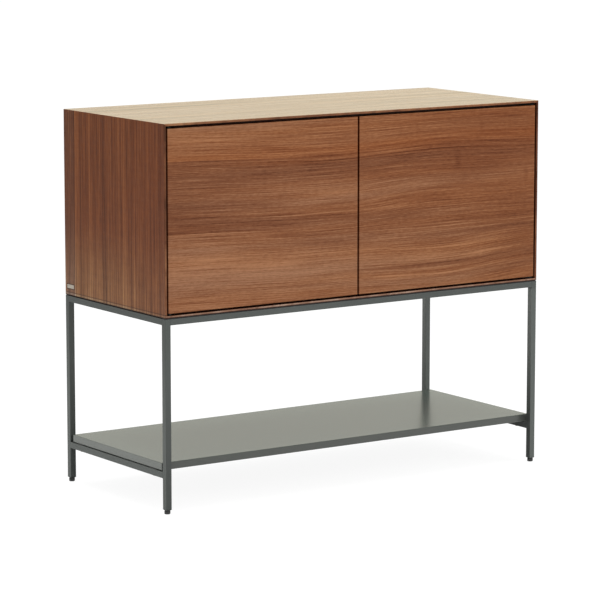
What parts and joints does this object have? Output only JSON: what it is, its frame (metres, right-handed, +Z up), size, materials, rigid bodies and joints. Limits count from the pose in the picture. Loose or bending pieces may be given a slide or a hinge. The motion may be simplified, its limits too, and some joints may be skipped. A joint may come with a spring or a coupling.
{
  "type": "sideboard",
  "caption": "Wood-veneered sideboard case with two flat push-to-open doors, on a slim square steel frame with a low open shelf.",
  "frame": {"origin": "middle of the floor outline, on the floor under the feet", "axes": "+X to the right along the doors, -Y out of the door side, +Z up"},
  "size_m": [1.07, 0.45, 0.895],
  "materials": {
    "walnut_top": "satin lacquered walnut veneer",
    "walnut_side": "satin lacquered walnut veneer, upright grain",
    "walnut_bottom": "satin lacquered walnut veneer",
    "walnut_inside": "satin lacquered walnut veneer",
    "back_board": "plain walnut veneer",
    "walnut_doors": "satin lacquered walnut veneer, level grain",
    "frame_steel": "fine grey-green powder coat",
    "shelf_lacquer": "satin grey-green lacquer on board",
    "black_plastic": "matte",
    "plunger_plastic": "matte grey",
    "foot_plastic": "matte black",
    "hinge_steel": "nickel-plated steel",
    "screw_steel": "zinc-plated steel"
  },
  "bodies": {
    "cabinet": {"top_panel": "walnut_top", "left_side_panel": "walnut_side", "right_side_panel": "walnut_side", "bottom_panel": "walnut_bottom", "centre_divider": "walnut_inside", "left_inner_shelf": "walnut_inside", "right_inner_shelf": "walnut_inside", "back_panel": "back_board", "front_upper_rail": "frame_steel", "back_upper_rail": "frame_steel", "left_upper_rail": "frame_steel", "right_upper_rail": "frame_steel", "left_lower_rail": "frame_steel", "right_lower_rail": "frame_steel", "leg_plugs": "frame_steel", "frame_tabs": "frame_steel", "lower_shelf": "shelf_lacquer", "spacer_strips": "black_plastic", "shelf_pads": "black_plastic", "left_latch_housing": "black_plastic", "right_latch_housing": "black_plastic", "shelf_pins": "hinge_steel", "back_panel_screws": "screw_steel", "hinge_leaf_screws": "screw_steel", "latch_screws": "screw_steel", "case_bolts": "screw_steel", "shelf_bolts": "screw_steel", "front_left_leg": "frame_steel", "front_right_leg": "frame_steel", "back_left_leg": "frame_steel", "back_right_leg": "frame_steel", "left_upper_hinge_leaf": "hinge_steel", "left_upper_hinge_pin": "hinge_steel", "left_lower_hinge_leaf": "hinge_steel", "left_lower_hinge_pin": "hinge_steel", "right_upper_hinge_leaf": "hinge_steel", "right_upper_hinge_pin": "hinge_steel", "right_lower_hinge_leaf": "hinge_steel", "right_lower_hinge_pin": "hinge_steel"},
    "left_door_body": {"left_door": "walnut_doors", "left_strike_plate": "hinge_steel", "left_door_plate_screws": "screw_steel", "left_upper_door_plate": "hinge_steel", "left_lower_door_plate": "hinge_steel"},
    "left_plunger_body": {"left_latch_plunger": "plunger_plastic"},
    "front_left_foot_body": {"front_left_foot": "foot_plastic"},
    "back_left_foot_body": {"back_left_foot": "foot_plastic"},
    "right_door_body": {"right_door": "walnut_doors", "right_strike_plate": "hinge_steel", "right_door_plate_screws": "screw_steel", "right_upper_door_plate": "hinge_steel", "right_lower_door_plate": "hinge_steel"},
    "right_plunger_body": {"right_latch_plunger": "plunger_plastic"},
    "front_right_foot_body": {"front_right_foot": "foot_plastic"},
    "back_right_foot_body": {"back_right_foot": "foot_plastic"}
  },
  "joints": [
    {"name": "left_door_swing", "type": "hinge", "parent": "cabinet", "child": "left_door_body", "pos_m": [-0.5192, -0.2185, 0.66845], "axis": [0, 0, -1], "range_deg": [0, 100]},
    {"name": "left_latch_push", "type": "slide", "parent": "cabinet", "child": "left_plunger_body", "axis": [0, 1, 0], "range_m": [0, 0.003], "stiffness_N_per_m": 250, "springref_m": -0.002},
    {"name": "front_left_foot_screw", "type": "slide", "parent": "cabinet", "child": "front_left_foot_body", "axis": [0, 0, -1], "range_m": [0, 0.008]},
    {"name": "back_left_foot_screw", "type": "slide", "parent": "cabinet", "child": "back_left_foot_body", "axis": [0, 0, -1], "range_m": [0, 0.008]},
    {"name": "right_door_swing", "type": "hinge", "parent": "cabinet", "child": "right_door_body", "pos_m": [0.5192, -0.2185, 0.66845], "axis": [0, 0, 1], "range_deg": [0, 100]},
    {"name": "right_latch_push", "type": "slide", "parent": "cabinet", "child": "right_plunger_body", "axis": [0, 1, 0], "range_m": [0, 0.003], "stiffness_N_per_m": 250, "springref_m": -0.002},
    {"name": "front_right_foot_screw", "type": "slide", "parent": "cabinet", "child": "front_right_foot_body", "axis": [0, 0, -1], "range_m": [0, 0.008]},
    {"name": "back_right_foot_screw", "type": "slide", "parent": "cabinet", "child": "back_right_foot_body", "axis": [0, 0, -1], "range_m": [0, 0.008]}
  ]
}
